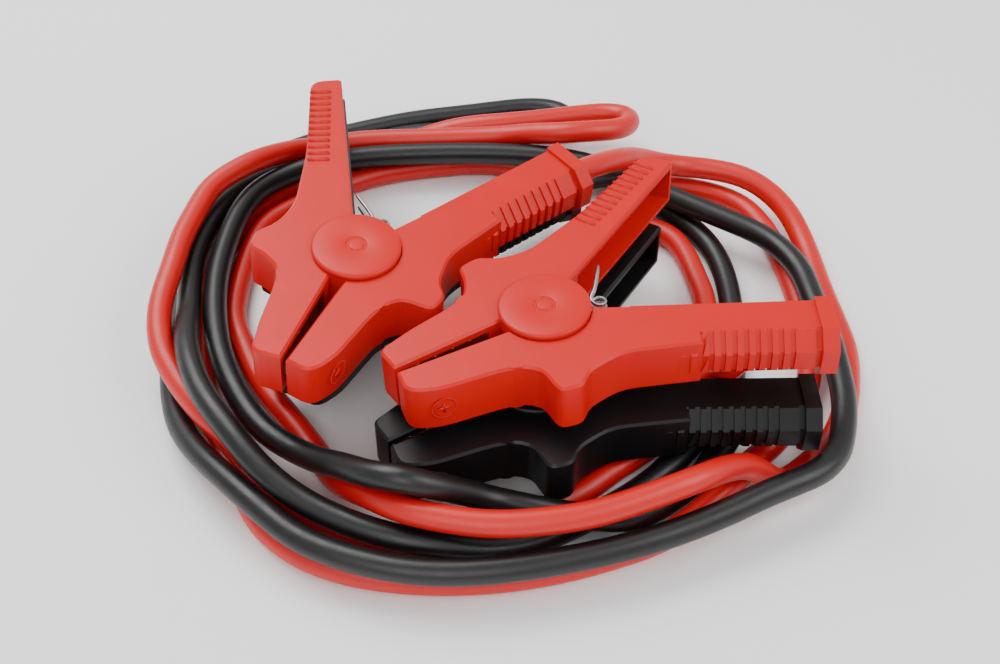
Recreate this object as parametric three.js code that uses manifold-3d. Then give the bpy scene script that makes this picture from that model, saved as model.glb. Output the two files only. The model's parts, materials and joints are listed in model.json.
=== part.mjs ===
// Car jumper cable set: a red and a black lead lying in one coil, each with a spring clamp at both ends.
// Millimetres, +Z up. The origin is on the floor under the middle of the coil's box.
import * as THREE from "three";
import * as BufferGeometryUtils from "three/addons/utils/BufferGeometryUtils.js";
import Module from "manifold-3d";

const wasm = await Module();
wasm.setup();

// Driving sizes of a clamp, from its pivot
const bodyThickness = 20;
const jawReach = 60;
const jawTipWidth = 11;
const mouthAtTip = 2;
const mouthAtHub = 6;
const hubRadius = 17;
const tongueThickness = 9.4;
const handleReach = 103;
const handleAngle = 28.6;
const gripWidth = 21;
const gripEdge = 6;
const edgeChamfer = 0.9;
const clearance = 0.3;

// Rivet, spring and jaw strips
const rivetRadius = 4;
const capThickness = 2;
const capChamfer = 1;
const dimpleRadius = 3.4;
const dimpleWidth = 1.4;
const dimpleDepth = 0.6;
const springWire = 2;
const springRadius = 3.4;
const springTurns = 3;
const springLegReach = 22;
const stripLength = 36;
const stripStart = 1.6;
const stripBack = 2.4;
const stripHeight = 13;
const toothCount = 5;
const toothDepth = 1.4;

// Grip ribs, collar, lever channel and lead slot
const collarLength = 6;
const collarRise = 1.3;
const ribCount = 12;
const ribPitch = 4.1;
const ribLength = 2.3;
const ribDepth = 1.1;
const ribStart = 17;
const channelWall = 2.6;
const channelFloor = 3;
const slotWidth = 13;
const slotLength = 42;
const slotEdge = 2;

// Leads
const leadDiameter = 9.8;
const leadSides = 8;
const leadStep = 23;

const red = new THREE.MeshStandardMaterial({ color: 0xe3201b, roughness: 0.42, metalness: 0 });
const black = new THREE.MeshStandardMaterial({ color: 0x17181a, roughness: 0.45, metalness: 0 });
const copper = new THREE.MeshStandardMaterial({ color: 0xc98752, roughness: 0.3, metalness: 1 });
const steel = new THREE.MeshStandardMaterial({ color: 0x8f9092, roughness: 0.35, metalness: 1 });

// Solids from closed geometries, and back
function solid(geometry) {
  const bare = geometry.clone();
  bare.deleteAttribute("normal");
  bare.deleteAttribute("uv");
  const merged = BufferGeometryUtils.mergeVertices(bare, 1e-4);
  const vertProperties = new Float32Array(merged.attributes.position.array);
  const triVerts = new Uint32Array(merged.index.array);
  return new wasm.Manifold(new wasm.Mesh({ numProp: 3, vertProperties, triVerts }));
}

function geometryOf(manifold) {
  const mesh = manifold.getMesh();
  const geometry = new THREE.BufferGeometry();
  geometry.setAttribute("position", new THREE.BufferAttribute(new Float32Array(mesh.vertProperties), 3));
  geometry.setIndex(new THREE.BufferAttribute(new Uint32Array(mesh.triVerts), 1));
  geometry.computeVertexNormals();
  return geometry;
}

// A closed outline whose corners are [x, y, rounding]
function outline(corners) {
  const shape = new THREE.Shape();
  const count = corners.length;
  for (let i = 0; i < count; i++) {
    const [x, y, rounding = 0] = corners[i];
    const here = new THREE.Vector2(x, y);
    const before = new THREE.Vector2(...corners[(i + count - 1) % count]);
    const after = new THREE.Vector2(...corners[(i + 1) % count]);
    const entry = before.sub(here).setLength(rounding).add(here);
    const exit = after.sub(here).setLength(rounding).add(here);
    if (i === 0) shape.moveTo(entry.x, entry.y);
    else shape.lineTo(entry.x, entry.y);
    if (rounding > 0) shape.quadraticCurveTo(x, y, exit.x, exit.y);
  }
  shape.closePath();
  return shape;
}

// A flat piece between two heights, its long edges chamfered
function plate(shape, low, high, chamfer = 0) {
  const geometry = new THREE.ExtrudeGeometry(shape, {
    depth: high - low - 2 * chamfer,
    steps: 1,
    curveSegments: 3,
    bevelEnabled: chamfer > 0,
    bevelThickness: chamfer,
    bevelSize: chamfer,
    bevelOffset: -chamfer,
    bevelSegments: 1,
  });
  geometry.translate(0, 0, low + chamfer);
  return solid(geometry);
}

function disc(radius, low, high, sides = 28) {
  const geometry = new THREE.CylinderGeometry(radius, radius, high - low, sides);
  geometry.rotateX(Math.PI / 2);
  geometry.translate(0, 0, (low + high) / 2);
  return solid(geometry);
}

// Places worked out from the driving sizes
const half = bodyThickness / 2;
const tongueHalf = tongueThickness / 2;
const slope = THREE.MathUtils.degToRad(handleAngle);
const alongHandle = new THREE.Vector3(-Math.cos(slope), Math.sin(slope), 0);
const acrossHandle = new THREE.Vector3(Math.sin(slope), Math.cos(slope), 0);
const mouthSlope = (mouthAtHub - mouthAtTip) / 2 / (jawReach - hubRadius);

// A point by its reach along the handle's inner edge and its distance outwards, on the side +1 or -1
function handlePoint(reach, out, side, rounding = 0) {
  const x = alongHandle.x * reach + acrossHandle.x * out;
  const y = alongHandle.y * reach + acrossHandle.y * out;
  return [x, side * y, rounding];
}

// A point by its distance from the jaw's tip and its depth behind the mouth's edge
function mouthPoint(fromTip, depth, side) {
  const x = jawReach - fromTip;
  const y = mouthAtTip / 2 + mouthSlope * fromTip + depth;
  return [x, side * y];
}

// The serrated copper strip in a jaw, its teeth hollowed between their points
function stripOutline(side) {
  const shape = new THREE.Shape();
  const pitch = stripLength / toothCount;
  const start = stripStart + clearance;
  shape.moveTo(...mouthPoint(start, stripBack, side));
  shape.lineTo(...mouthPoint(start, 0, side));
  for (let i = 0; i < toothCount; i++) {
    const middle = mouthPoint(start + (i + 0.5) * pitch, 2 * toothDepth, side);
    const next = mouthPoint(start + (i + 1) * pitch, 0, side);
    shape.quadraticCurveTo(...middle, ...next);
  }
  shape.lineTo(...mouthPoint(start + stripLength, stripBack, side));
  shape.closePath();
  return shape;
}

function strip(side) {
  return plate(stripOutline(side), -stripHeight / 2, stripHeight / 2);
}

function stripPocket(side) {
  const end = stripStart + stripLength + 2 * clearance;
  const depth = stripBack + clearance;
  const corners = [
    mouthPoint(stripStart, -2, side),
    mouthPoint(stripStart, depth, side),
    mouthPoint(end, depth, side),
    mouthPoint(end, -2, side),
  ];
  const reach = stripHeight / 2 + clearance;
  return plate(outline(corners), -reach, reach);
}

// The lever half: a jaw, a heel, two cheeks at the hub and a channel handle
function leverHalf() {
  const side = -1;
  const endInner = handlePoint(handleReach, 0, side, 1.5);
  const body = [
    mouthPoint(0, 0, side),
    [jawReach + 1, side * (mouthAtTip / 2 + jawTipWidth), 3],
    [47, side * 16, 5],
    [28, side * 19.5, 5],
    [21, side * 22.5, 3],
    [17, side * 30, 3],
    [16, side * 37, 3],
    [7, side * 38.5, 3],
    [0, side * 33.5, 5],
    [-12, side * 32, 6],
    handlePoint(56, 16.5, side, 8),
    handlePoint(handleReach - 1, 13, side, 5),
    endInner,
    handlePoint(hubRadius * 0.5, 0, side),
    [0, 0],
    mouthPoint(jawReach - hubRadius, 0, side),
  ];
  const channel = [
    handlePoint(handleReach - channelWall, -3, side),
    handlePoint(handleReach - channelWall, 13 - channelFloor, side),
    handlePoint(57, 16 - channelFloor, side),
    handlePoint(30, 16 - channelFloor, side),
    handlePoint(23, -3, side),
  ];
  const channelHalf = half - channelWall;
  let part = plate(outline(body), -half, half, edgeChamfer);
  part = part.add(disc(hubRadius, -half, half));
  part = part.subtract(plate(outline(channel), -channelHalf, channelHalf));
  const gap = tongueHalf + clearance;
  part = part.subtract(disc(hubRadius + clearance, -gap, gap));
  part = part.subtract(stripPocket(side));
  part = part.subtract(disc(rivetRadius + clearance, -half - 1, half + 1, 16));
  return part;
}

// A stretch of the grip, measured from its end, its outer side round and larger by grow
function gripStretch(fromEnd, length, grow) {
  const top = half + Math.max(grow, 0);
  const wide = gripWidth + grow;
  const section = outline([
    [-Math.max(grow, 0) * 0.5, -top],
    [wide, -top, gripEdge],
    [wide, top, gripEdge],
    [-Math.max(grow, 0) * 0.5, top],
  ]);
  const geometry = new THREE.ExtrudeGeometry(section, {
    depth: length,
    steps: 1,
    curveSegments: 1,
    bevelEnabled: false,
  });
  const inwards = alongHandle.clone().negate();
  const turn = new THREE.Matrix4().makeBasis(acrossHandle, new THREE.Vector3(0, 0, 1), inwards);
  turn.setPosition(alongHandle.clone().multiplyScalar(handleReach - fromEnd));
  geometry.applyMatrix4(turn);
  return solid(geometry);
}

// The lead half: a jaw, a lug, the tongue at the hub and a full grip that the lead enters
function leadHalf() {
  const side = 1;
  const body = [
    mouthPoint(0, 0, side),
    [jawReach + 1.5, side * (mouthAtTip / 2 + jawTipWidth - 1), 4],
    [52, side * 16, 5],
    [28, side * 19.5, 5],
    [20, side * 22, 4],
    [16.5, side * 27, 2],
    [16.5, side * 38, 3],
    [8, side * 40, 3],
    [3, side * 35, 4],
    [-12, side * 33, 6],
    handlePoint(55, gripWidth - 1, side),
    handlePoint(55, 0, side),
    handlePoint(hubRadius * 0.5, 0, side),
    [0, 0],
    mouthPoint(jawReach - hubRadius, 0, side),
  ];
  let part = plate(outline(body), -half, half, edgeChamfer);
  const ribsEnd = ribStart + ribCount * ribPitch;
  part = part.subtract(disc(hubRadius + clearance, tongueHalf, half + 1));
  part = part.subtract(disc(hubRadius + clearance, -half - 1, -tongueHalf));
  part = part.add(disc(hubRadius, -tongueHalf, tongueHalf));
  part = part.add(gripStretch(0, ribsEnd + 6, -ribDepth));
  part = part.add(gripStretch(0, collarLength, collarRise));
  part = part.add(gripStretch(collarLength + 2, ribStart - collarLength - 3.8, 0));
  for (let i = 0; i < ribCount; i++) {
    part = part.add(gripStretch(ribStart + i * ribPitch, ribLength, 0));
  }
  part = part.subtract(leadSlot(side));
  part = part.subtract(stripPocket(side));
  return part.subtract(disc(rivetRadius + clearance, -half - 1, half + 1, 16));
}

// The slot through which the lead enters the grip, open below and at the grip's end
function leadSlot(side) {
  const corners = [
    handlePoint(handleReach + 2, slotEdge, side),
    handlePoint(handleReach + 2, slotEdge + slotWidth, side),
    handlePoint(handleReach - slotLength, slotEdge + slotWidth, side),
    handlePoint(handleReach - slotLength, slotEdge, side),
  ];
  const roof = leadDiameter / 2 + 2 * clearance;
  return plate(outline(corners), -half - 3, roof);
}

// The rivet: a shaft with a wide cap on each face and a ring pressed into each cap
function rivet() {
  const seat = half + clearance;
  const top = seat + capThickness;
  const profile = [
    [0, top],
    [dimpleRadius - dimpleWidth / 2, top],
    [dimpleRadius, top - dimpleDepth],
    [dimpleRadius + dimpleWidth / 2, top],
    [hubRadius - capChamfer, top],
    [hubRadius, top - capChamfer],
    [hubRadius, seat],
    [rivetRadius, seat],
  ];
  const below = profile.map(([r, z]) => [r, -z]).reverse();
  const points = [...profile, ...below].reverse().map(([r, z]) => new THREE.Vector2(r, z));
  const geometry = new THREE.LatheGeometry(points, 18);
  geometry.rotateX(Math.PI / 2);
  return solid(geometry);
}

// The torsion spring in the crotch of the handles, a leg along each handle
function spring() {
  const centre = -(hubRadius + clearance + springWire + springRadius + 0.5);
  const pitch = springWire * 1.2;
  const turns = springTurns + 0.5;
  const points = [];
  const legOut = new THREE.Vector2(alongHandle.x, alongHandle.y).multiplyScalar(springLegReach);
  const offset = springWire / 2 + clearance;
  const legStart = handlePoint(hubRadius + 10, -offset, 1);
  const bottom = (-pitch * turns) / 2;
  points.push(new THREE.Vector3(legStart[0] + legOut.x, legStart[1] + legOut.y, bottom));
  points.push(new THREE.Vector3(legStart[0] + legOut.x / 2, legStart[1] + legOut.y / 2, bottom));
  const steps = Math.round(turns * 6);
  for (let i = 0; i <= steps; i++) {
    const angle = Math.PI / 2 - (i / 6) * 2 * Math.PI;
    const x = centre + springRadius * Math.cos(angle);
    const y = springRadius * Math.sin(angle);
    points.push(new THREE.Vector3(x, y, bottom + (pitch * i) / 6));
  }
  points.push(new THREE.Vector3(legStart[0] + legOut.x / 2, -legStart[1] - legOut.y / 2, -bottom));
  return tube(new THREE.CatmullRomCurve3(points), springWire, 5, steps + 8);
}

// A round bar along a curve
function tube(curve, diameter, sides, steps) {
  const section = new THREE.Shape();
  for (let i = 0; i < sides; i++) {
    const angle = (i * 2 * Math.PI) / sides;
    const x = (diameter / 2) * Math.cos(angle);
    const y = (diameter / 2) * Math.sin(angle);
    if (i === 0) section.moveTo(x, y);
    else section.lineTo(x, y);
  }
  section.closePath();
  return new THREE.ExtrudeGeometry(section, { steps, extrudePath: curve, bevelEnabled: false });
}

function named(name, geometry, material) {
  const mesh = new THREE.Mesh(geometry, material);
  mesh.name = name;
  return mesh;
}

// A clamp, placed by its pivot, the direction of its jaws and the upward normal of its faces
function clamp(name, material, pivot, jawDegrees, normal) {
  const up = new THREE.Vector3(...normal).normalize();
  const jaw = THREE.MathUtils.degToRad(jawDegrees);
  const forward = new THREE.Vector3(Math.cos(jaw), Math.sin(jaw), 0);
  const left = up.clone().cross(forward).normalize();
  forward.copy(left).cross(up);
  const group = new THREE.Group();
  group.add(named(`${name}_lever`, geometryOf(leverHalf()), material));
  group.add(named(`${name}_grip`, geometryOf(leadHalf()), material));
  group.add(named(`${name}_rivet`, geometryOf(rivet()), material));
  group.add(named(`${name}_spring`, spring(), steel));
  group.add(named(`${name}_lever_jaw`, geometryOf(strip(-1)), copper));
  group.add(named(`${name}_grip_jaw`, geometryOf(strip(1)), copper));
  const frame = new THREE.Matrix4().makeBasis(forward, left, up);
  group.quaternion.setFromRotationMatrix(frame);
  group.position.set(...pivot);
  return group;
}

// A lead along its route, a hand-laid list of the points that its middle passes
function lead(name, material, route) {
  const curve = new THREE.CatmullRomCurve3(route.map((point) => new THREE.Vector3(...point)));
  curve.arcLengthDivisions = 2000;
  const steps = Math.round(curve.getLength() / leadStep);
  return named(name, tube(curve, leadDiameter, leadSides, steps), material);
}

const redRoute = [
  [25, 38.5, 46.8], [32, 43.6, 46.5], [41.5, 53, 43.5], [52, 65, 37], [62, 77, 28],
  [72, 84, 20], [84, 87, 15.7], [97, 85, 15.5], [113, 78, 15.5], [127, 64, 11],
  [134, 44, 5], [136, 18, 5], [139, -6, 5], [140, -19, 5], [138, -36, 5],
  [133, -54, 5], [125, -69, 5], [114, -80, 5], [104, -87.5, 5.3], [97, -88, 10.5],
  [91, -88, 15.5], [81, -93.5, 21], [69, -102.5, 26], [52, -110, 26], [34, -117, 26],
  [20, -120, 26], [0, -122, 26], [-17, -120, 26], [-34, -115.5, 26], [-47, -103.5, 19],
  [-59, -91, 10], [-69, -73, 5], [-80, -57, 5], [-94, -38, 5], [-103, -19, 5],
  [-110, -2, 5], [-111, 16, 5], [-109, 42, 5], [-105, 58, 5], [-94, 70, 5],
  [-77, 83, 5], [-56, 95, 5], [-28, 101, 5], [-9, 103, 5], [5, 101, 5],
  [30, 97, 5], [55, 91, 5], [75, 87, 5], [92, 83, 5], [104, 77, 5],
  [112, 69, 5], [119, 52, 5], [124.5, 19, 5], [125.5, 0, 5], [125.5, -18, 5],
  [122, -38, 5], [114, -54, 5], [105, -67, 5], [92, -79.5, 5], [77, -97, 5],
  [59, -112, 5], [40, -120, 5], [21, -126, 5], [0, -130, 5], [-24, -131, 5],
  [-49, -128, 5], [-70, -120, 5], [-86, -106, 5], [-93, -93, 5], [-103, -75, 5],
  [-112, -54, 5], [-119, -30, 5], [-122, 0, 5], [-122, 32, 5], [-114, 66, 5],
  [-92, 89, 5], [-77, 99.5, 5], [-60, 108.5, 5], [-40, 116.5, 8.5], [-20, 119.5, 13.5],
  [0, 120, 15.5], [20, 123, 15.5], [40, 127, 15.5], [51, 127.5, 16], [59, 123.5, 17.5],
  [61, 116, 19.5], [57, 108, 22], [49, 102.5, 24.5], [38, 99.5, 26], [27, 99, 25.5],
  [12, 104.5, 21], [-2, 108.5, 16.5], [-40, 107.5, 15.6], [-66, 106, 15.6], [-80, 101, 16],
  [-92, 95.5, 19], [-107, 81, 25], [-117, 71, 26], [-126, 59, 26], [-130, 42, 26],
  [-133, 26, 26], [-134, 7, 25.5], [-136, -13, 23], [-133, -30, 19.5], [-127, -42, 17],
  [-112, -63, 16.5], [-102, -73, 16.5], [-94, -82, 15], [-87, -89, 13], [-79, -95, 9],
  [-68, -103, 5.5], [-35, -115.5, 5], [-12, -111.5, 5], [10, -103, 5], [30, -92, 5],
  [40.5, -82.5, 5], [52, -73.5, 5], [62, -64, 5], [75, -45, 5], [84, -15, 5],
  [86, 10, 5], [84, 23, 5], [81, 38, 5], [76, 50, 5], [66, 57, 5],
  [52, 57, 5], [40, 47, 5], [33, 26, 5], [33, 4, 5], [38, -16, 5],
  [48, -34, 6], [60, -46, 13], [70, -51, 17], [79, -54, 23], [84, -54.8, 30],
  [87, -56, 36], [90.7, -56.9, 44],
];

const blackRoute = [
  [24, 60, 21.6], [32, 66, 21.5], [44, 72, 21], [56, 72.5, 19.5], [68, 69, 17],
  [80, 62, 16], [100, 49, 15.5], [116, 37, 15.5], [126, 18, 15.5], [128, 0, 15.5],
  [131, -20, 15.5], [131.5, -40, 15.5], [131, -55, 15.5], [128.5, -68.5, 15.5], [124, -82, 15.8],
  [115.5, -92, 17.5], [104, -98, 18], [93, -103, 17.5], [82, -108.5, 16.5], [66, -115.5, 15.5],
  [52, -121, 15.5], [36, -126, 15.5], [14, -131, 15.5], [-7, -134, 15.5], [-27, -134, 15.5],
  [-47, -130, 15.5], [-69, -121, 15.5], [-85, -107, 15.5], [-100, -92, 15], [-113, -77, 11.5],
  [-122.5, -61, 7.5], [-128, -45, 5.3], [-131, -30, 5], [-133.5, -11, 5], [-134, 12, 5],
  [-134, 35, 5], [-130.5, 73, 5], [-122, 91, 5], [-109, 105, 5], [-92, 117.5, 5],
  [-72.5, 126, 5], [-43, 136.5, 5], [-20, 141, 5], [-3, 144.5, 5], [10, 147, 5],
  [22, 146.8, 5], [30, 143.3, 5], [33, 137.5, 5], [30, 131.7, 5], [22, 128.2, 5],
  [10, 127.5, 5], [-12, 127, 5], [-40, 126.5, 5], [-66, 117, 5], [-84, 108, 5],
  [-101, 95.5, 7.5], [-112, 84, 10], [-121.5, 70, 12.5], [-129.5, 33, 15.5], [-129, 12, 15.5],
  [-126, -8, 17], [-124, -20, 21], [-120, -40, 26.5], [-111, -62, 27.5], [-99, -79, 27],
  [-86, -94, 22.5], [-71, -105, 18], [-53, -114, 16], [-35, -120, 15.5], [-21, -121, 13],
  [-7, -120.5, 9], [10, -115, 5], [25, -107.5, 5], [38, -100, 5], [49, -92.5, 5],
  [61, -82, 5], [71, -70, 5], [82, -57.5, 5], [90, -45, 5], [95, -20, 5],
  [97, 8, 5], [96, 29, 5], [92, 45, 5], [84, 59, 5], [72, 70, 6],
  [60, 80, 10], [45, 88, 15], [25, 94, 15.5], [0, 97, 15.5], [-30, 97, 15.5],
  [-66, 94, 15.5], [-90, 85, 15.5], [-107, 72, 15.5], [-114, 56, 15.5], [-117, 37, 15.5],
  [-118, 12, 15.5], [-115, -12, 15.5], [-109, -34, 15.5], [-99, -55, 15.5], [-88, -71, 15.5],
  [-75, -81, 16], [-65, -89.5, 20.5], [-56, -97, 27], [-45, -106.5, 34], [-34, -110.8, 37],
  [-24, -110.5, 33], [-13, -107, 25], [-3, -105, 18], [8, -106, 15.5], [20, -109, 15.5],
  [32, -110.5, 15], [44, -107.5, 10], [56, -100, 5.5], [68, -90, 5], [75.5, -83.5, 5],
  [80, -75.6, 5], [84.5, -70, 5.4], [87.4, -66.5, 9.5], [87.8, -67, 15],
];

// The box's middle and lowest point, seen from where the routes are laid out
const boxMiddle = [1.82, 6.61];
const boxBottom = -0.07;
const jumperCable = new THREE.Group();
jumperCable.position.set(-boxMiddle[0], -boxMiddle[1], -boxBottom);
jumperCable.add(lead("red_lead", red, redRoute));
jumperCable.add(lead("black_lead", black, blackRoute));
jumperCable.add(clamp("red_clamp_right", red, [16.4, -50.1, 48.2], 209.4, [-0.03, 0.03, 1]));
jumperCable.add(clamp("red_clamp_left", red, [-54.8, -18.7, 50.1], 249.2, [0.079, -0.052, 0.996]));
jumperCable.add(clamp("black_clamp_right", black, [13, -61.5, 22.5], 209.6, [0, 0, 1]));
jumperCable.add(clamp("black_clamp_left", black, [-57, 2, 26], 249.2, [0.079, -0.052, 0.996]));

export default jumperCable;
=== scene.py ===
import json
import math

import bmesh
import bpy
from mathutils import Matrix, Vector


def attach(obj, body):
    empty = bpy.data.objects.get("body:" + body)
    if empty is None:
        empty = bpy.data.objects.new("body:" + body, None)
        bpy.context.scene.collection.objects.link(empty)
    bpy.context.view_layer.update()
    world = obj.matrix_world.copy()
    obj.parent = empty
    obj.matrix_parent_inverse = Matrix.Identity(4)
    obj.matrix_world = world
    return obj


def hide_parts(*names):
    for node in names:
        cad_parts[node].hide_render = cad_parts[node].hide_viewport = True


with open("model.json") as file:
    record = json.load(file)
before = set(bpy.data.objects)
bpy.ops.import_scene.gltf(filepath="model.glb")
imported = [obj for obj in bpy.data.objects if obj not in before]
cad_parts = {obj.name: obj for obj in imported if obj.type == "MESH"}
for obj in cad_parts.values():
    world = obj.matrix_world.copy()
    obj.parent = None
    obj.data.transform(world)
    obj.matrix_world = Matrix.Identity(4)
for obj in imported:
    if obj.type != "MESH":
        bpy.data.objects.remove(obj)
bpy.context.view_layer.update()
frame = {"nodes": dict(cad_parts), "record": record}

bl_info = {
    "name": "Jumper Cable Set",
    "version": (1, 0, 0),
    "blender": (4, 5, 0),
    "location": "3D View > Sidebar > Jumper Cable",
    "description": "Dresses a red and a black jumper lead and their four spring clamps",
    "category": "Object",
}

# The clamps, by name: pivot in millimetres as laid out, direction of the jaws, normal of the faces.
# The red ones come from a fit to points read off the photograph, and were then moved
CLAMPS = {
    "red_clamp_right": ((16.4, -50.1, 48.2), 209.4, (-0.03, 0.03, 1)),
    "red_clamp_left": ((-54.8, -18.7, 50.1), 249.2, (0.079, -0.052, 0.996)),
    "black_clamp_right": ((13, -61.5, 22.5), 209.6, (0, 0, 1)),
    "black_clamp_left": ((-57, 2, 26), 249.2, (0.079, -0.052, 0.996)),
}
MM = 0.001
LAYOUT_SHIFT = Vector((-1.82, -6.61, 0.07))
HALF_THICKNESS = 10
HANDLE_REACH = 103
HANDLE_ANGLE = math.radians(28.6)
HUB_RADIUS = 17
EASING_PASSES = 5
FLAT_ANGLE = math.radians(28)

# The leads' routes in millimetres, before LAYOUT_SHIFT. Points were read off the photograph, placed by its
# fitted camera at assumed heights, and then moved until the strands cleared each other
RED_ROUTE = [
    (25, 38.5, 46.8), (32, 43.6, 46.5), (41.5, 53, 43.5), (52, 65, 37),
    (62, 77, 28), (72, 84, 20), (84, 87, 15.7), (97, 85, 15.5),
    (113, 78, 15.5), (127, 64, 11), (134, 44, 5), (136, 18, 5),
    (139, -6, 5), (140, -19, 5), (138, -36, 5), (133, -54, 5),
    (125, -69, 5), (114, -80, 5), (104, -87.5, 5.3), (97, -88, 10.5),
    (91, -88, 15.5), (81, -93.5, 21), (69, -102.5, 26), (52, -110, 26),
    (34, -117, 26), (20, -120, 26), (0, -122, 26), (-17, -120, 26),
    (-34, -115.5, 26), (-47, -103.5, 19), (-59, -91, 10), (-69, -73, 5),
    (-80, -57, 5), (-94, -38, 5), (-103, -19, 5), (-110, -2, 5),
    (-111, 16, 5), (-109, 42, 5), (-105, 58, 5), (-94, 70, 5),
    (-77, 83, 5), (-56, 95, 5), (-28, 101, 5), (-9, 103, 5),
    (5, 101, 5), (30, 97, 5), (55, 91, 5), (75, 87, 5),
    (92, 83, 5), (104, 77, 5), (112, 69, 5), (119, 52, 5),
    (124.5, 19, 5), (125.5, 0, 5), (125.5, -18, 5), (122, -38, 5),
    (114, -54, 5), (105, -67, 5), (92, -79.5, 5), (77, -97, 5),
    (59, -112, 5), (40, -120, 5), (21, -126, 5), (0, -130, 5),
    (-24, -131, 5), (-49, -128, 5), (-70, -120, 5), (-86, -106, 5),
    (-93, -93, 5), (-103, -75, 5), (-112, -54, 5), (-119, -30, 5),
    (-122, 0, 5), (-122, 32, 5), (-114, 66, 5), (-92, 89, 5),
    (-77, 99.5, 5), (-60, 108.5, 5), (-40, 116.5, 8.5), (-20, 119.5, 13.5),
    (0, 120, 15.5), (20, 123, 15.5), (40, 127, 15.5), (51, 127.5, 16),
    (59, 123.5, 17.5), (61, 116, 19.5), (57, 108, 22), (49, 102.5, 24.5),
    (38, 99.5, 26), (27, 99, 25.5), (12, 104.5, 21), (-2, 108.5, 16.5),
    (-40, 107.5, 15.6), (-66, 106, 15.6), (-80, 101, 16), (-92, 95.5, 19),
    (-107, 81, 25), (-117, 71, 26), (-126, 59, 26), (-130, 42, 26),
    (-133, 26, 26), (-134, 7, 25.5), (-136, -13, 23), (-133, -30, 19.5),
    (-127, -42, 17), (-112, -63, 16.5), (-102, -73, 16.5), (-94, -82, 15),
    (-87, -89, 13), (-79, -95, 9), (-68, -103, 5.5), (-35, -115.5, 5),
    (-12, -111.5, 5), (10, -103, 5), (30, -92, 5), (40.5, -82.5, 5),
    (52, -73.5, 5), (62, -64, 5), (75, -45, 5), (84, -15, 5),
    (86, 10, 5), (84, 23, 5), (81, 38, 5), (76, 50, 5),
    (66, 57, 5), (52, 57, 5), (40, 47, 5), (33, 26, 5),
    (33, 4, 5), (38, -16, 5), (48, -34, 6), (60, -46, 13),
    (70, -51, 17), (79, -54, 23), (84, -54.8, 30), (87, -56, 36),
    (90.7, -56.9, 44),
]
BLACK_ROUTE = [
    (24, 60, 21.6), (32, 66, 21.5), (44, 72, 21), (56, 72.5, 19.5),
    (68, 69, 17), (80, 62, 16), (100, 49, 15.5), (116, 37, 15.5),
    (126, 18, 15.5), (128, 0, 15.5), (131, -20, 15.5), (131.5, -40, 15.5),
    (131, -55, 15.5), (128.5, -68.5, 15.5), (124, -82, 15.8), (115.5, -92, 17.5),
    (104, -98, 18), (93, -103, 17.5), (82, -108.5, 16.5), (66, -115.5, 15.5),
    (52, -121, 15.5), (36, -126, 15.5), (14, -131, 15.5), (-7, -134, 15.5),
    (-27, -134, 15.5), (-47, -130, 15.5), (-69, -121, 15.5), (-85, -107, 15.5),
    (-100, -92, 15), (-113, -77, 11.5), (-122.5, -61, 7.5), (-128, -45, 5.3),
    (-131, -30, 5), (-133.5, -11, 5), (-134, 12, 5), (-134, 35, 5),
    (-130.5, 73, 5), (-122, 91, 5), (-109, 105, 5), (-92, 117.5, 5),
    (-72.5, 126, 5), (-43, 136.5, 5), (-20, 141, 5), (-3, 144.5, 5),
    (10, 147, 5), (22, 146.8, 5), (30, 143.3, 5), (33, 137.5, 5),
    (30, 131.7, 5), (22, 128.2, 5), (10, 127.5, 5), (-12, 127, 5),
    (-40, 126.5, 5), (-66, 117, 5), (-84, 108, 5), (-101, 95.5, 7.5),
    (-112, 84, 10), (-121.5, 70, 12.5), (-129.5, 33, 15.5), (-129, 12, 15.5),
    (-126, -8, 17), (-124, -20, 21), (-120, -40, 26.5), (-111, -62, 27.5),
    (-99, -79, 27), (-86, -94, 22.5), (-71, -105, 18), (-53, -114, 16),
    (-35, -120, 15.5), (-21, -121, 13), (-7, -120.5, 9), (10, -115, 5),
    (25, -107.5, 5), (38, -100, 5), (49, -92.5, 5), (61, -82, 5),
    (71, -70, 5), (82, -57.5, 5), (90, -45, 5), (95, -20, 5),
    (97, 8, 5), (96, 29, 5), (92, 45, 5), (84, 59, 5),
    (72, 70, 6), (60, 80, 10), (45, 88, 15), (25, 94, 15.5),
    (0, 97, 15.5), (-30, 97, 15.5), (-66, 94, 15.5), (-90, 85, 15.5),
    (-107, 72, 15.5), (-114, 56, 15.5), (-117, 37, 15.5), (-118, 12, 15.5),
    (-115, -12, 15.5), (-109, -34, 15.5), (-99, -55, 15.5), (-88, -71, 15.5),
    (-75, -81, 16), (-65, -89.5, 20.5), (-56, -97, 27), (-45, -106.5, 34),
    (-34, -110.8, 37), (-24, -110.5, 33), (-13, -107, 25), (-3, -105, 18),
    (8, -106, 15.5), (20, -109, 15.5), (32, -110.5, 15), (44, -107.5, 10),
    (56, -100, 5.5), (68, -90, 5), (75.5, -83.5, 5), (80, -75.6, 5),
    (84.5, -70, 5.4), (87.4, -66.5, 9.5), (87.8, -67, 15),
]


def clamp_matrix(name):
    """The clamp's own frame: X along the jaws, Y towards the lead half, Z out of the top face."""
    pivot, jaw, normal = CLAMPS[name]
    up = Vector(normal).normalized()
    angle = math.radians(jaw)
    forward = Vector((math.cos(angle), math.sin(angle), 0))
    left = up.cross(forward).normalized()
    forward = left.cross(up)
    turn = Matrix((forward, left, up)).transposed().to_4x4()
    return Matrix.Translation((Vector(pivot) + LAYOUT_SHIFT) * MM) @ turn


def handle_point(reach, out, side):
    """A place on a handle, by its reach along the inner edge and its distance outwards."""
    x = -math.cos(HANDLE_ANGLE) * reach + math.sin(HANDLE_ANGLE) * out
    y = math.sin(HANDLE_ANGLE) * reach + math.cos(HANDLE_ANGLE) * out
    return Vector((x, side * y, 0))


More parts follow.
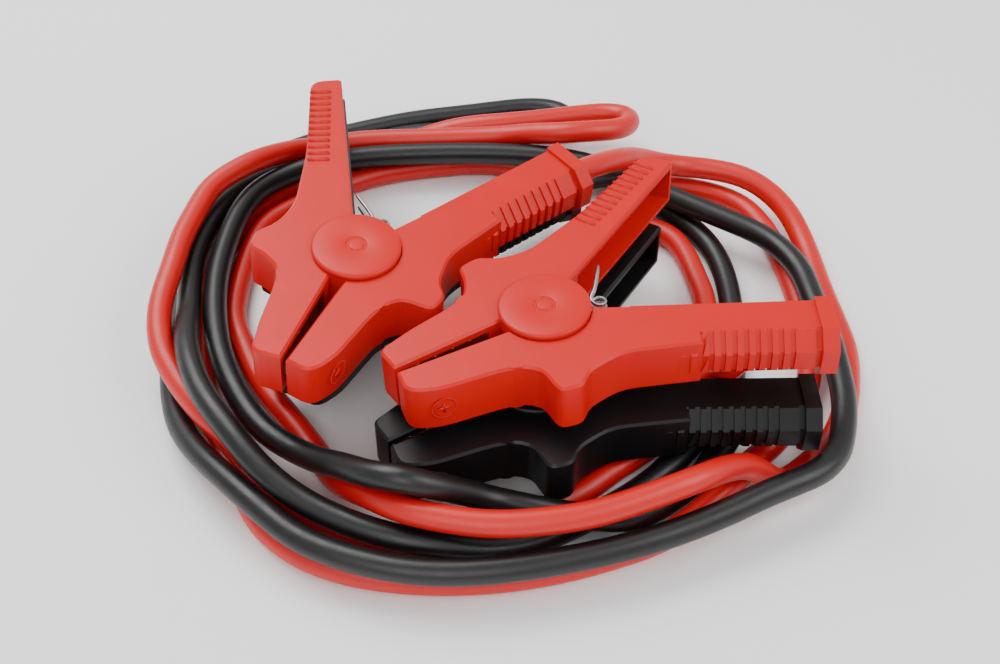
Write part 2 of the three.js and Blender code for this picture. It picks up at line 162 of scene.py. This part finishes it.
class Sock:
    """A shader socket or a number that takes part in arithmetic."""

    def __init__(self, shader, value):
        self.shader = shader
        self.value = value

    def _math(self, operation, first, second):
        return self.shader.node("ShaderNodeMath", {"operation": operation}, {0: first, 1: second})[0]

    def __add__(self, other):
        return self._math("ADD", self, other)

    __radd__ = __add__

    def __sub__(self, other):
        return self._math("SUBTRACT", self, other)

    def __rsub__(self, other):
        return self._math("SUBTRACT", other, self)

    def __mul__(self, other):
        return self._math("MULTIPLY", self, other)

    __rmul__ = __mul__


class Shader:
    """A material under construction, with one method for every kind of node."""

    def __init__(self, name):
        self.material = bpy.data.materials.new(name)
        self.material.use_nodes = True
        self.tree = self.material.node_tree
        self.tree.nodes.clear()

    def node(self, kind, settings=None, inputs=None):
        made = self.tree.nodes.new(kind)
        for key, value in (settings or {}).items():
            if key == "stops":
                for place, shade in zip(made.color_ramp.elements, value):
                    place.position, place.color = shade
            else:
                setattr(made, key, value)
        for key, value in (inputs or {}).items():
            if isinstance(value, Sock):
                value = value.value
            if isinstance(value, bpy.types.NodeSocket):
                self.tree.links.new(value, made.inputs[key])
            else:
                made.inputs[key].default_value = value
        return [Sock(self, out) for out in made.outputs]

    def noise(self, scale, detail, stretch=(1, 1, 1)):
        place = self.node("ShaderNodeTexCoord")[3]
        mapped = self.node("ShaderNodeMapping", None, {"Vector": place, "Scale": stretch})[0]
        return self.node("ShaderNodeTexNoise", None, {"Vector": mapped, "Scale": scale, "Detail": detail})[0]

    def mix(self, factor, first, second):
        settings = {"data_type": "RGBA"}
        return self.node("ShaderNodeMix", settings, {0: factor, 6: first, 7: second})[2]

    def finish(self, base, roughness, bump, **fixed):
        inputs = {"Base Color": base, "Roughness": roughness, "Normal": bump}
        inputs.update({key.replace("_", " "): value for key, value in fixed.items()})
        surface = self.node("ShaderNodeBsdfPrincipled", None, inputs)[0]
        self.node("ShaderNodeOutputMaterial", None, {"Surface": surface})
        return self.material

    def bump(self, height, distance, strength=1.0):
        inputs = {"Height": height, "Distance": distance, "Strength": strength}
        return self.node("ShaderNodeBump", None, inputs)[0]


def moulded_plastic(name, colour, deep):
    """Satin moulded plastic: faint flow marks, fine mould grain and rubbed patches."""
    s = Shader(name)
    flow = s.noise(35, 3)
    grain = s.noise(1400, 2)
    rub = s.noise(90, 5)
    base = s.mix(flow * 0.55, (*colour, 1), (*deep, 1))
    roughness = 0.3 + rub * 0.16
    normal = s.bump(grain + flow * 4, 0.00006, 0.5)
    return s.finish(base, roughness, normal, Specular_IOR_Level=0.3)


def cable_jacket(name, colour, deep):
    """A soft extruded jacket: slow waviness, faint streaks and a little dust."""
    s = Shader(name)
    wave = s.noise(60, 2)
    streak = s.noise(500, 3, (1, 1, 4))
    dust = s.noise(220, 6)
    base = s.mix(dust * 0.4, (*colour, 1), (*deep, 1))
    roughness = 0.3 + dust * 0.2
    normal = s.bump(wave * 3 + streak, 0.0001, 0.4)
    return s.finish(base, roughness, normal, Specular_IOR_Level=0.5)


def bright_metal(name, colour, deep, rough):
    """Stamped or drawn metal with fine scratches and patchy tarnish."""
    s = Shader(name)
    tarnish = s.noise(160, 5)
    scratch = s.noise(900, 2, (1, 1, 12))
    base = s.mix(tarnish, (*colour, 1), (*deep, 1))
    roughness = rough + tarnish * 0.2
    normal = s.bump(scratch, 0.00005, 0.6)
    return s.finish(base, roughness, normal, Metallic=1.0)


def slot_for(node):
    """The record's material slot that a node's piece takes its finish from."""
    if "jaw" in node:
        return "copper_jaw"
    if "spring" in node:
        return "spring_steel"
    pole = "red" if node.startswith("red") else "black"
    return f"{pole}_cable_jacket" if "lead" in node else f"{pole}_grip_plastic"


def finish_for(node):
    """The finish that a node's piece takes, made once, beside the imported plain materials."""
    look = bpy.context.scene.jumper_look
    slot = slot_for(node)
    name = f"{slot}_finish"
    if name in bpy.data.materials:
        return bpy.data.materials[name]
    if slot == "copper_jaw":
        return bright_metal(name, look.copper, look.copper_worn, 0.22)
    if slot == "spring_steel":
        return bright_metal(name, look.steel, look.steel_worn, 0.3)
    shades = (look.red, look.red_deep) if node.startswith("red") else (look.black, look.black_dusty)
    make = cable_jacket if "jacket" in slot else moulded_plastic
    return make(name, *shades)


def add_piece(name, mesh, node, body, matrix=None):
    """Puts a mesh in the scene as a piece on a body, with its node's finish."""
    piece = bpy.data.objects.new(name, mesh)
    bpy.context.collection.objects.link(piece)
    if matrix is not None:
        piece.matrix_world = matrix
    mesh.materials.clear()
    mesh.materials.append(finish_for(node))
    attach(piece, body)
    return piece


def body_for(node):
    """The CAD body that a node belongs to."""
    for body, nodes in frame["record"]["behaviour"]["bodies"].items():
        if node in nodes:
            return body
    raise RuntimeError(f"no body holds {node}")


def softened_copy(node, width):
    """A copy of a node's solid with moulded edge roundings and smooth curves."""
    look = bpy.context.scene.jumper_look
    mesh = frame["nodes"][node].data.copy()
    mesh.name = f"{node}_moulded"
    work = bmesh.new()
    work.from_mesh(mesh)
    bmesh.ops.remove_doubles(work, verts=work.verts, dist=0.00002)
    bmesh.ops.dissolve_limit(work, angle_limit=math.radians(1), verts=work.verts, edges=work.edges)
    work.to_mesh(mesh)
    work.free()
    piece = add_piece(f"{node}_moulded", mesh, node, body_for(node))
    rounding = piece.modifiers.new("edge_rounding", "BEVEL")
    rounding.width = width * look.edge_rounding
    rounding.segments = 2
    rounding.limit_method = "ANGLE"
    rounding.angle_limit = math.radians(35)
    rounding.harden_normals = True
    for face in mesh.polygons:
        face.use_smooth = True
    mesh.set_sharp_from_angle(angle=FLAT_ANGLE)
    smooth = piece.modifiers.new("smooth_curves", "WEIGHTED_NORMAL")
    smooth.keep_sharp = True
    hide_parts(node)
    return piece


def lathe_mesh(name, profile, sides):
    """A turned solid from a profile of (radius, height), closed on the axis."""
    work = bmesh.new()
    rings = []
    for radius, height in profile:
        ring = []
        for i in range(sides):
            angle = 2 * math.pi * i / sides
            place = (radius * math.cos(angle), radius * math.sin(angle), height)
            ring.append(work.verts.new(place))
        rings.append(ring)
    for low, high in zip(rings, rings[1:]):
        for i in range(sides):
            j = (i + 1) % sides
            work.faces.new((low[i], low[j], high[j], high[i]))
    work.faces.new(rings[-1])
    work.faces.new(list(reversed(rings[0])))
    bmesh.ops.recalc_face_normals(work, faces=work.faces)
    for face in work.faces:
        face.smooth = True
    mesh = bpy.data.meshes.new(name)
    work.to_mesh(mesh)
    work.free()
    return mesh


def bars_mesh(name, bars):
    """Small bars, each given by its frame and its full sizes, with rounded edges."""
    work = bmesh.new()
    for matrix, size in bars:
        scale = Matrix.Diagonal((*size, 1))
        bmesh.ops.create_cube(work, size=1, matrix=matrix @ scale)
    sharpest = min(min(size) for _, size in bars)
    bmesh.ops.bevel(work, geom=work.edges, offset=sharpest * 0.3, segments=2, affect="EDGES")
    mesh = bpy.data.meshes.new(name)
    for face in work.faces:
        face.smooth = True
    work.to_mesh(mesh)
    work.free()
    return mesh


def smooth_route(points, per_span):
    """Points on a centripetal Catmull-Rom curve through the route."""
    way = [(Vector(p) + LAYOUT_SHIFT) * MM for p in points]
    way = [2 * way[0] - way[1], *way, 2 * way[-1] - way[-2]]
    out = []
    for before, here, there, after in zip(way, way[1:], way[2:], way[3:]):
        a = math.sqrt((here - before).length)
        b = math.sqrt((there - here).length)
        c = math.sqrt((after - there).length)
        leave = ((here - before) / a - (there - before) / (a + b) + (there - here) / b) * b
        arrive = ((there - here) / b - (after - here) / (b + c) + (after - there) / c) * b
        for k in range(per_span):
            t = k / per_span
            out.append(
                (2 * t**3 - 3 * t**2 + 1) * here
                + (t**3 - 2 * t**2 + t) * leave
                + (3 * t**2 - 2 * t**3) * there
                + (t**3 - t**2) * arrive
            )
    out.append(way[-2])
    for _ in range(EASING_PASSES):
        eased = [(a + 2 * b + c) / 4 for a, b, c in zip(out, out[1:], out[2:])]
        out = [out[0], *eased, out[-1]]
    return out


class JumperSizes(bpy.types.PropertyGroup):
    """Sizes of the leads and of the small relief on the clamps."""

    lead_diameter: bpy.props.FloatProperty(
        name="Lead diameter", description="Outer size of a lead's jacket", default=9.8 * MM, unit="LENGTH"
    )
    rib_length: bpy.props.FloatProperty(
        name="Rib length", description="Length of a finger rib across the lever", default=9 * MM, unit="LENGTH"
    )
    rib_width: bpy.props.FloatProperty(
        name="Rib width", description="Width of a finger rib", default=1.7 * MM, unit="LENGTH"
    )
    rib_height: bpy.props.FloatProperty(
        name="Rib height", description="Height of a finger rib above the lever", default=0.7 * MM, unit="LENGTH"
    )
    rib_pitch: bpy.props.FloatProperty(
        name="Rib pitch", description="Distance from one finger rib to the next", default=3.9 * MM, unit="LENGTH"
    )
    rib_count: bpy.props.IntProperty(
        name="Rib count", description="How many finger ribs a lever has on each face", default=12
    )
    sign_radius: bpy.props.FloatProperty(
        name="Sign radius", description="Radius of the ring round the pole sign", default=4.4 * MM, unit="LENGTH"
    )


class JumperLook(bpy.types.PropertyGroup):
    """Colours of the finishes."""

    red: bpy.props.FloatVectorProperty(
        name="Red", description="Red plastic and jacket", default=(0.6, 0.003, 0.002), subtype="COLOR"
    )
    red_deep: bpy.props.FloatVectorProperty(
        name="Deep red", description="Darker flow in the red", default=(0.48, 0.002, 0.001), subtype="COLOR"
    )
    black: bpy.props.FloatVectorProperty(
        name="Black", description="Black plastic and jacket", default=(0.003, 0.003, 0.0033), subtype="COLOR"
    )
    black_dusty: bpy.props.FloatVectorProperty(
        name="Dusty black", description="Lighter dust on the black", default=(0.009, 0.009, 0.01), subtype="COLOR"
    )
    copper: bpy.props.FloatVectorProperty(
        name="Copper", description="Stamped jaw strips", default=(0.87, 0.5, 0.27), subtype="COLOR"
    )
    copper_worn: bpy.props.FloatVectorProperty(
        name="Worn copper", description="Tarnish on the jaw strips", default=(0.5, 0.2, 0.09), subtype="COLOR"
    )
    steel: bpy.props.FloatVectorProperty(
        name="Steel", description="Spring wire", default=(0.5, 0.5, 0.52), subtype="COLOR"
    )
    steel_worn: bpy.props.FloatVectorProperty(
        name="Worn steel", description="Tarnish on the spring wire", default=(0.3, 0.29, 0.28), subtype="COLOR"
    )
    edge_rounding: bpy.props.FloatProperty(
        name="Edge rounding", description="Multiplier of every moulded edge's rounding", default=1.0
    )


class JUMPER_OT_stage(bpy.types.Operator):
    """Make the pale floor, the soft studio lights and the camera"""

    bl_idname = "jumper.stage"
    bl_label = "Studio Stage"

    def execute(self, context):
        centre = LAYOUT_SHIFT * MM
        camera = bpy.data.objects.new("camera", bpy.data.cameras.new("camera"))
        camera.data.sensor_width = 36
        camera.data.lens = 48.1
        camera.location = Vector((0, -0.396, 0.394)) + centre
        camera.rotation_euler = (math.radians(90 - 45.13), 0, 0)
        context.collection.objects.link(camera)
        context.scene.camera = camera
        floor_mesh = bpy.data.meshes.new("floor")
        floor_mesh.from_pydata([(-4, -4, 0), (4, -4, 0), (4, 4, 0), (-4, 4, 0)], [], [(0, 1, 2, 3)])
        floor = bpy.data.objects.new("floor", floor_mesh)
        paper = Shader("pale_paper")
        tone = paper.mix(paper.noise(3, 2), (0.93, 0.93, 0.93, 1), (0.9, 0.9, 0.9, 1))
        rough = 0.55 + paper.noise(50, 2) * 0.1
        floor_mesh.materials.append(paper.finish(tone, rough, paper.bump(paper.noise(800, 2), 0.00001)))
        context.collection.objects.link(floor)
        lamps = {
            "key": ((-0.5, 0.55, 1.1), 0.9, 17),
            "fill": ((0.9, -0.3, 0.9), 0.8, 8),
            "front": ((-0.2, -1.1, 0.9), 0.9, 7),
        }
        for name, (place, size, power) in lamps.items():
            light = bpy.data.lights.new(name, "AREA")
            light.size = size
            light.energy = power
            lamp = bpy.data.objects.new(name, light)
            lamp.location = place
            lamp.rotation_euler = (-Vector(place)).to_track_quat("-Z", "Y").to_euler()
            context.collection.objects.link(lamp)
        world = bpy.data.worlds.new("studio_air")
        world.use_nodes = True
        world.node_tree.nodes["Background"].inputs[0].default_value = (1, 1, 1, 1)
        world.node_tree.nodes["Background"].inputs[1].default_value = 0.75
        context.scene.world = world
        return {"FINISHED"}


class JUMPER_OT_leads(bpy.types.Operator):
    """Lay the red and the black lead along their routes"""

    bl_idname = "jumper.leads"
    bl_label = "Leads"

    def execute(self, context):
        sizes = context.scene.jumper_sizes
        for node, route in (("red_lead", RED_ROUTE), ("black_lead", BLACK_ROUTE)):
            way = smooth_route(route, 5)
            curve = bpy.data.curves.new(f"{node}_jacket", "CURVE")
            curve.dimensions = "3D"
            curve.bevel_depth = sizes.lead_diameter / 2
            curve.bevel_resolution = 6
            curve.use_fill_caps = True
            spline = curve.splines.new("POLY")
            spline.points.add(len(way) - 1)
            for point, place in zip(spline.points, way):
                point.co = (*place, 1)
            spline.use_smooth = True
            curve.materials.append(finish_for(node))
            jacket = bpy.data.objects.new(f"{node}_jacket", curve)
            context.collection.objects.link(jacket)
            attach(jacket, body_for(node))
            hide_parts(node)
            length = sum((b - a).length for a, b in zip(way, way[1:]))
        return {"FINISHED"}


class JUMPER_OT_halves(bpy.types.Operator):
    """Round the moulded edges of both halves of every clamp"""

    bl_idname = "jumper.halves"
    bl_label = "Clamp Halves"

    def execute(self, context):
        for name in CLAMPS:
            softened_copy(f"{name}_lever", 0.45 * MM)
            softened_copy(f"{name}_grip", 0.4 * MM)
        return {"FINISHED"}


class JUMPER_OT_rivets(bpy.types.Operator):
    """Turn the round pivot caps with the ring pressed into them"""

    bl_idname = "jumper.rivets"
    bl_label = "Pivot Caps"

    def execute(self, context):
        seat = HALF_THICKNESS + 0.3
        top = seat + 2
        rim = HUB_RADIUS
        profile = [(0.01, top - 0.05), (2.3, top - 0.05), (2.7, top - 0.1), (3.1, top - 0.6)]
        profile += [(3.7, top - 0.6), (4.1, top - 0.1), (4.5, top), (rim - 1.4, top)]
        profile += [(rim - 0.6, top - 0.2), (rim - 0.15, top - 0.65), (rim, top - 1.2)]
        profile += [(rim, seat + 0.1), (rim - 0.1, seat), (4.05, seat), (4, seat - 0.1)]
        both = profile + [(r, -z) for r, z in reversed(profile)]
        both = [(r * MM, z * MM) for r, z in both]
        for name in CLAMPS:
            node = f"{name}_rivet"
            mesh = lathe_mesh(f"{node}_turned", both, 96)
            cap = add_piece(f"{node}_turned", mesh, node, body_for(node), clamp_matrix(name))
            smooth = cap.modifiers.new("crisp_rings", "EDGE_SPLIT")
            smooth.split_angle = math.radians(50)
            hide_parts(node)
        return {"FINISHED"}


class JUMPER_OT_relief(bpy.types.Operator):
    """Add the finger ribs on the levers and the pole sign on each jaw"""

    bl_idname = "jumper.relief"
    bl_label = "Ribs and Signs"

    def execute(self, context):
        for name in CLAMPS:
            self.finger_ribs(context, name)
            self.pole_sign(context, name)
        return {"FINISHED"}

    def finger_ribs(self, context, name):
        sizes = context.scene.jumper_sizes
        bars = []
        for face in (1, -1):
            for i in range(sizes.rib_count):
                reach = HANDLE_REACH - 9 - i * sizes.rib_pitch / MM
                out = 9.2 + 3 * i / sizes.rib_count
                place = handle_point(reach, out, -1) * MM
                place.z = face * HALF_THICKNESS * MM
                turn = Matrix.Rotation(HANDLE_ANGLE, 4, "Z")
                size = (sizes.rib_width, sizes.rib_length, 2 * sizes.rib_height)
                bars.append((Matrix.Translation(place) @ turn, size))
        mesh = bars_mesh(f"{name}_finger_ribs", bars)
        node = f"{name}_lever"
        add_piece(f"{name}_finger_ribs", mesh, node, body_for(node), clamp_matrix(name))

    def pole_sign(self, context, name):
        radius = context.scene.jumper_sizes.sign_radius
        side = math.atan2(3.5, -24)
        place = Vector((50, 16.3, 0)) * MM
        face = Matrix.Translation(place) @ Matrix.Rotation(side, 4, "Z") @ Matrix.Rotation(math.radians(90), 4, "X")
        bars = []
        count = 40
        for i in range(count):
            spin = Matrix.Rotation(2 * math.pi * i / count, 4, "Z")
            arm = Matrix.Translation((radius, 0, 0))
            bars.append((face @ spin @ arm, (0.7 * MM, radius * 0.18, 0.7 * MM)))
        bars.append((face, (radius * 1.05, 0.9 * MM, 0.7 * MM)))
        if name.startswith("red"):
            bars.append((face, (0.9 * MM, radius * 1.05, 0.7 * MM)))
        mesh = bars_mesh(f"{name}_pole_sign", bars)
        node = f"{name}_grip"
        add_piece(f"{name}_pole_sign", mesh, node, body_for(node), clamp_matrix(name))


class JUMPER_OT_metal(bpy.types.Operator):
    """Give the copper strips and the springs their edges and finish"""

    bl_idname = "jumper.metal"
    bl_label = "Jaw Strips and Springs"

    def execute(self, context):
        for name in CLAMPS:
            softened_copy(f"{name}_lever_jaw", 0.15 * MM)
            softened_copy(f"{name}_grip_jaw", 0.15 * MM)
            spring = softened_copy(f"{name}_spring", 0.05 * MM)
            spring.modifiers.clear()
            wire = spring.modifiers.new("round_wire", "SUBSURF")
            wire.levels = 2
            wire.render_levels = 2
        return {"FINISHED"}


class JUMPER_PT_panel(bpy.types.Panel):
    """Lists the steps and the values of the set"""

    bl_label = "Jumper Cable"
    bl_idname = "JUMPER_PT_panel"
    bl_space_type = "VIEW_3D"
    bl_region_type = "UI"
    bl_category = "Jumper Cable"

    def draw(self, context):
        for group in (context.scene.jumper_sizes, context.scene.jumper_look):
            for key in group.bl_rna.properties.keys():
                if key not in ("rna_type", "name"):
                    self.layout.prop(group, key)
        for step in STEPS:
            self.layout.operator(step.bl_idname)


STEPS = (JUMPER_OT_stage, JUMPER_OT_leads, JUMPER_OT_halves, JUMPER_OT_rivets, JUMPER_OT_relief, JUMPER_OT_metal)
CLASSES = (JumperSizes, JumperLook, *STEPS, JUMPER_PT_panel)


def register():
    for item in CLASSES:
        bpy.utils.register_class(item)
    bpy.types.Scene.jumper_sizes = bpy.props.PointerProperty(type=JumperSizes)
    bpy.types.Scene.jumper_look = bpy.props.PointerProperty(type=JumperLook)


def unregister():
    del bpy.types.Scene.jumper_look
    del bpy.types.Scene.jumper_sizes
    for item in reversed(CLASSES):
        bpy.utils.unregister_class(item)


def main():
    register()
    bpy.ops.jumper.stage()
    bpy.ops.jumper.leads()
    bpy.ops.jumper.halves()
    bpy.ops.jumper.rivets()
    bpy.ops.jumper.relief()
    bpy.ops.jumper.metal()


if __name__ == "__main__":
    main()
